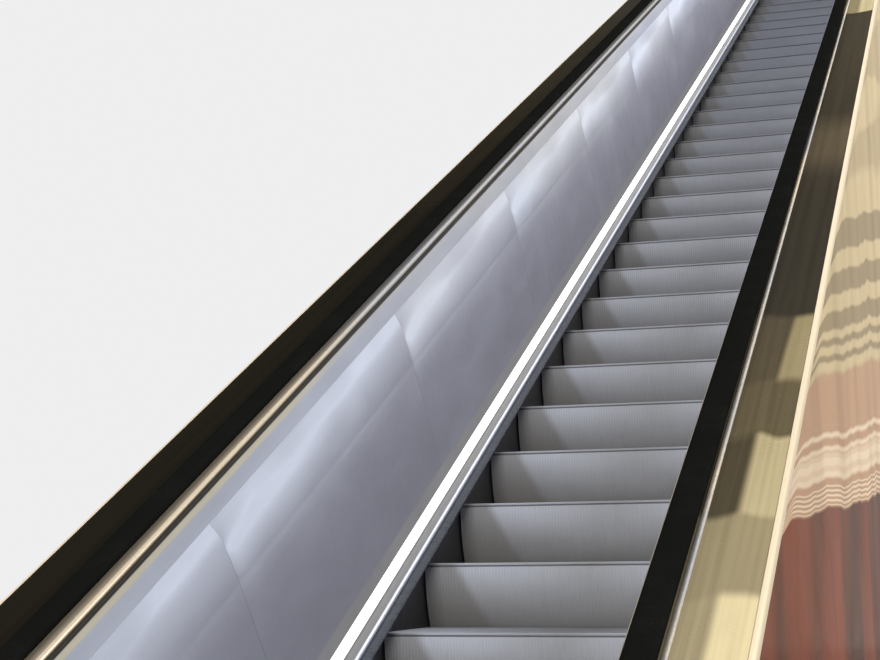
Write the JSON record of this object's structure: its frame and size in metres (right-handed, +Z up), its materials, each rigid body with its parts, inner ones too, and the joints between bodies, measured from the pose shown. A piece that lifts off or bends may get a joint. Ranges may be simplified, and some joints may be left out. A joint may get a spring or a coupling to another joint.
{
  "type": "escalator",
  "caption": "Escalator with closed brushed steel balustrades, polished decks and outer cladding, lit skirt line and cleated steps between two landings",
  "frame": {"origin": "middle of the lower bearing face, under the end beam of the lower landing, on the ground", "axes": "X across the steps to the right as one rides up, Y along the travel towards the upper landing, Z up"},
  "size_m": [1.436, 22.678, 8.4],
  "materials": {
    "step_aluminium": "die-cast, cleated",
    "track_steel": "rolled, plain",
    "floor_plate": "ribbed",
    "comb_metal": "die-cast",
    "skirt_panel": "dark low-friction coat",
    "skirt_brush": "bristles",
    "bright_moulding": "bright anodised",
    "light_line": "lit diffuser",
    "trim_aluminium": "satin anodised",
    "brushed_panel": "brushed along the incline",
    "handrail_rubber": "smooth satin",
    "guide_steel": "polished, champagne tint",
    "polished_deck": "polished, champagne tint",
    "polished_cladding": "polished, champagne tint",
    "truss_paint": "primed grey",
    "inlet_rubber": "moulded",
    "bottom_sheet": "plain sheet"
  },
  "bodies": {
    "root": {"steps_lower_landing": "step_aluminium", "steps_lower_flight": "step_aluminium", "steps_middle_flight": "step_aluminium", "steps_upper_flight": "step_aluminium", "steps_upper_landing": "step_aluminium", "step_tracks": "track_steel", "floor_plates_lower": "floor_plate", "floor_plates_upper": "floor_plate", "comb_plate_lower": "comb_metal", "comb_plate_upper": "comb_metal", "combs_lower": "comb_metal", "combs_upper": "comb_metal", "skirt_left": "skirt_panel", "skirt_right": "skirt_panel", "skirt_brush_left": "skirt_brush", "skirt_brush_right": "skirt_brush", "skirt_moulding_left": "bright_moulding", "skirt_moulding_right": "bright_moulding", "light_line_left": "light_line", "light_line_right": "light_line", "light_trim_left": "trim_aluminium", "light_trim_right": "trim_aluminium", "inner_panels_left": "brushed_panel", "inner_panels_right": "brushed_panel", "handrail_left": "handrail_rubber", "handrail_right": "handrail_rubber", "handrail_guide_left": "guide_steel", "handrail_guide_right": "guide_steel", "outer_deck_left": "polished_deck", "outer_deck_right": "polished_deck", "outer_cladding_left": "polished_cladding", "outer_cladding_right": "polished_cladding", "balustrade_posts_left": "truss_paint", "balustrade_posts_right": "truss_paint", "newel_lower_left": "brushed_panel", "newel_lower_right": "brushed_panel", "newel_upper_left": "brushed_panel", "newel_upper_right": "brushed_panel", "handrail_inlets": "inlet_rubber", "truss_left": "truss_paint", "truss_right": "truss_paint", "truss_cross_members": "truss_paint", "bottom_sheets": "bottom_sheet", "end_beam_lower": "truss_paint", "end_frame_upper": "truss_paint"}
  },
  "joints": []
}
